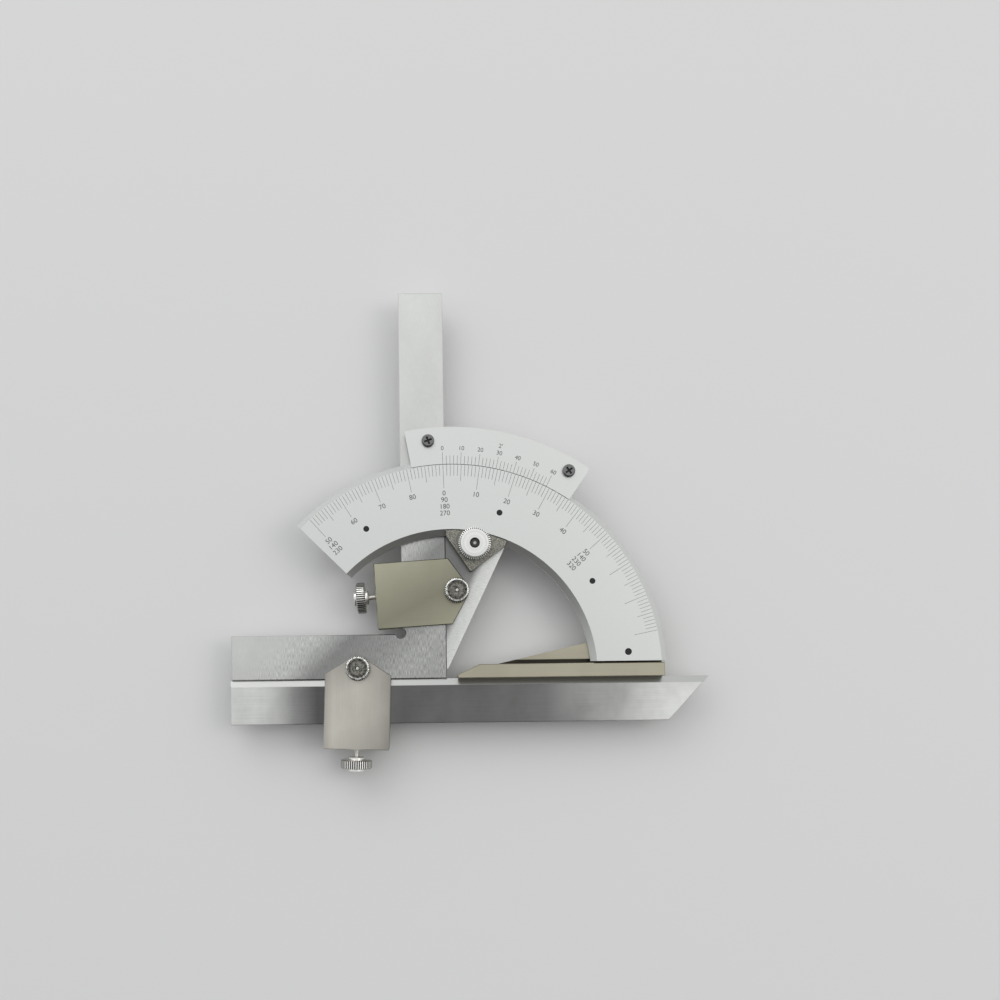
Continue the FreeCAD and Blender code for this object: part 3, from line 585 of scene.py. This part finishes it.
def vernier_screw_heads():
    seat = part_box("vernier_plate")[1].z
    low_corner, high_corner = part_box("vernier_screws")
    high = high_corner.z
    bm = bmesh.new()
    for bearing, turn in zip(SCREW_BEARINGS, SCREW_TURNS):
        place = polar(SCREW_CIRCLE, bearing)
        add_cross_head(bm, place, HEAD_RADIUS, seat, high, math.radians(turn))
        shank = Matrix.Translation(place + Vector((0, 0, (low_corner.z + seat) / 2)))
        add_cylinder(bm, shank, SHANK_RADIUS, seat - low_corner.z, 32)
    screws = finished("vernier_screw_heads", bm, head_steel, "sector")
    # Second material: the blacker tone of the cross recess, painted shade.
    screws.data.materials.append(black_screw)
    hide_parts("vernier_screws")


# Slotted screw of the back knob
def half_head(radius, side):
    points = []
    for step in range(SLOT_STEPS + 1):
        angle = math.radians(SLOT_ANGLE + step * (180 - 2 * SLOT_ANGLE) / SLOT_STEPS)
        points.append(Vector((radius * math.cos(angle), side * radius * math.sin(angle), 0)))
    return points


def add_cylinder(bm, centre, radius, depth, segments):
    bmesh.ops.create_cone(bm, cap_ends=True, segments=segments, radius1=radius, radius2=radius,
                          depth=depth, matrix=centre)


def back_screw():
    low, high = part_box("knob_screw")
    x, y = ((low + high) / 2).xy
    radius = (high.x - low.x) / 2
    bm = bmesh.new()
    for side in (-1, 1):
        points = half_head(radius, side)
        lower = [bm.verts.new(Vector((x, y, low.z)) + point) for point in points]
        upper = [bm.verts.new(Vector((x, y, low.z + HEAD_THICKNESS)) + point) for point in points]
        wall(bm, lower, upper)
        cap(bm, [lower, upper])
    slot_floor = low.z + SLOT_DEPTH
    shank = Matrix.Translation((x, y, (slot_floor + high.z) / 2))
    add_cylinder(bm, shank, KNOB_SHANK, high.z - slot_floor, 32)
    disc = Matrix.Translation((x, y, slot_floor + SLOT_DEPTH / 4))
    add_cylinder(bm, disc, radius - SLOT_INSET, SLOT_DEPTH / 2, CIRCLE_STEPS)
    screw = finished("knob_screw_slotted", bm, head_steel, "pinion")
    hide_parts("knob_screw")


# Knurled pieces and the threads of the clamp screws
def frame_of(axis):
    across = axis.orthogonal().normalized()
    return across, axis.cross(across)


# Groove faces take the near-black second material: painted shade in the knurl grooves.
def paint_groove_shade(faces):
    for column, face in enumerate(faces):
        if column % COLUMNS_PER_TOOTH in (0, COLUMNS_PER_TOOTH - 1):
            face.material_index = 1


def add_turned(bm, start, axis, profile, teeth, closed=True):
    across, other = frame_of(axis)
    columns = teeth * COLUMNS_PER_TOOTH
    rings = []
    for radius, height, groove in profile:
        ring = []
        for column in range(columns):
            angle = 2 * math.pi * column / columns
            dip = groove if column % COLUMNS_PER_TOOTH == COLUMNS_PER_TOOTH - 1 else 0
            arm = across * math.cos(angle) + other * math.sin(angle)
            ring.append(bm.verts.new(start + axis * height * MM + arm * (radius - dip) * MM))
        rings.append(ring)
    for row in range(len(rings) - closed):
        following = (row + 1) % len(rings)
        faces = wall(bm, rings[row], rings[following])
        if min(profile[row][2], profile[following][2]) > 0:
            paint_groove_shade(faces)
    if closed:
        cap(bm, rings)


def add_thread(bm, start, axis):
    across, other = frame_of(axis)
    rows = round(THREAD_LENGTH / THREAD_PITCH) * THREAD_ROWS_PER_TURN
    rings = []
    for row in range(rows + 1):
        along = THREAD_LENGTH * row / rows
        ring = []
        for column in range(THREAD_COLUMNS):
            angle = 2 * math.pi * column / THREAD_COLUMNS
            phase = (along / THREAD_PITCH - column / THREAD_COLUMNS) % 1.0
            radius = THREAD_CORE + THREAD_DEPTH * abs(2 * phase - 1)
            arm = across * math.cos(angle) + other * math.sin(angle)
            ring.append(bm.verts.new(start + axis * along + arm * radius))
        rings.append(ring)
    for lower, upper in zip(rings, rings[1:]):
        wall(bm, lower, upper)
    cap(bm, rings)


def clamp_screw(side, turn):
    angle = math.radians(turn)
    axis = Vector((math.cos(angle), math.sin(angle), 0))
    pin = centre_of(side + "_lock_pin")
    pin.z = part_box("square")[1].z / 2
    bm = bmesh.new()
    add_thread(bm, pin + axis * THREAD_START, axis)
    add_turned(bm, pin + axis * WHEEL_START, axis, WHEEL_PROFILE, WHEEL_TEETH)
    aim = axis.to_track_quat("Z", "Y").to_matrix().to_4x4()
    tip = Matrix.Translation(pin + axis * TIP_CENTRE) @ aim
    add_cylinder(bm, tip, TIP_RADIUS, TIP_LENGTH, THREAD_COLUMNS)
    screw = finished(side + "_thumbscrew_knurled", bm, bright_nickel, side + "_screw")
    screw.data.materials.append(painted_groove_shade)
    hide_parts(side + "_thumbscrew")


def clamp_pin(side, material):
    pin = centre_of(side + "_lock_pin")
    pin.z = PIN_BASE
    bm = bmesh.new()
    add_turned(bm, pin, Vector((0, 0, 1)), PIN_PROFILE, PIN_TEETH)
    knob = finished(side + "_lock_pin_knurled", bm, material, side + "_pin")
    knob.data.materials.append(painted_groove_shade)
    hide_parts(side + "_lock_pin")


def nut(material):
    place = centre_of("brake_nut")
    place.z = NUT_BASE
    bm = bmesh.new()
    add_turned(bm, place, Vector((0, 0, 1)), NUT_PROFILE, NUT_TEETH, closed=False)
    knurled = finished("brake_nut_knurled", bm, material, "nut")
    knurled.data.materials.append(painted_groove_shade)
    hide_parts("brake_nut")


def knurled_pieces():
    for side, turn in CLAMP_TURNS.items():
        clamp_screw(side, turn)
        clamp_pin(side, NODE_MATERIALS[side + "_lock_pin"])
    nut(NODE_MATERIALS["brake_nut"])


# Floor, light and camera
def floor_material():
    material, tree, shader = blank_material("floor", 0.0, 0.8)
    shader.inputs["Base Color"].default_value = (FLOOR_GREY, FLOOR_GREY, FLOOR_GREY, 1)
    return material


def floor():
    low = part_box("back_knob")[0].z - FLOOR_DROP
    bm = bmesh.new()
    bmesh.ops.create_grid(bm, x_segments=1, y_segments=1, size=FLOOR_SIZE / 2,
                          matrix=Matrix.Translation((0, 0, low)))
    mesh = bpy.data.meshes.new("floor")
    bm.to_mesh(mesh)
    bm.free()
    mesh.materials.append(floor_material())
    ground = bpy.data.objects.new("floor", mesh)
    bpy.context.scene.collection.objects.link(ground)


def softbox(name, place, size, power, warmth=(1, 1, 1)):
    light = bpy.data.lights.new(name, "AREA")
    light.shape = "RECTANGLE"
    light.size, light.size_y = size
    light.energy = power
    light.color = warmth
    lamp = bpy.data.objects.new(name, light)
    lamp.location = place
    lamp.rotation_euler = (-Vector(place)).to_track_quat("-Z", "Y").to_euler()
    bpy.context.scene.collection.objects.link(lamp)


def sky_light(world):
    tree = world.node_tree
    sky = tree.nodes["Background"]
    coordinates = tree.nodes.new("ShaderNodeTexCoord")
    split = tree.nodes.new("ShaderNodeSeparateXYZ")
    level = tree.nodes.new("ShaderNodeMapRange")
    level.inputs["From Min"].default_value = -1.0
    tree.links.new(coordinates.outputs["Generated"], split.inputs["Vector"])
    tree.links.new(split.outputs["Y"], level.inputs["Value"])
    shade = ramp(tree, level.outputs["Result"], SKY)
    tree.links.new(shade, sky.inputs["Color"])
    sky.inputs["Strength"].default_value = 1.0


def studio():
    world = bpy.data.worlds.new("studio")
    bpy.context.scene.world = world
    world.use_nodes = True
    sky_light(world)
    softbox("key_light", *KEY_LIGHT)
    softbox("fill_light", *FILL_LIGHT, WARM_LIGHT)


def camera():
    lens = bpy.data.cameras.new("camera")
    lens.lens = CAMERA_LENS
    lens.sensor_width = SENSOR_WIDTH
    lens.shift_x, lens.shift_y = CAMERA_SHIFT
    lens.clip_start = CLIP_START
    eye = bpy.data.objects.new("camera", lens)
    eye.location = (CAMERA_NADIR.x, CAMERA_NADIR.y, CAMERA_HEIGHT)
    eye.rotation_euler = (0, 0, CAMERA_TURN)
    bpy.context.scene.collection.objects.link(eye)
    bpy.context.scene.camera = eye


dress_nodes()
main_marks()
main_numbers()
vernier_marks()
vernier_numbers()
vernier_screw_heads()
back_screw()
knurled_pieces()
floor()
studio()
camera()
bpy.context.scene.view_settings.view_transform = "Standard"
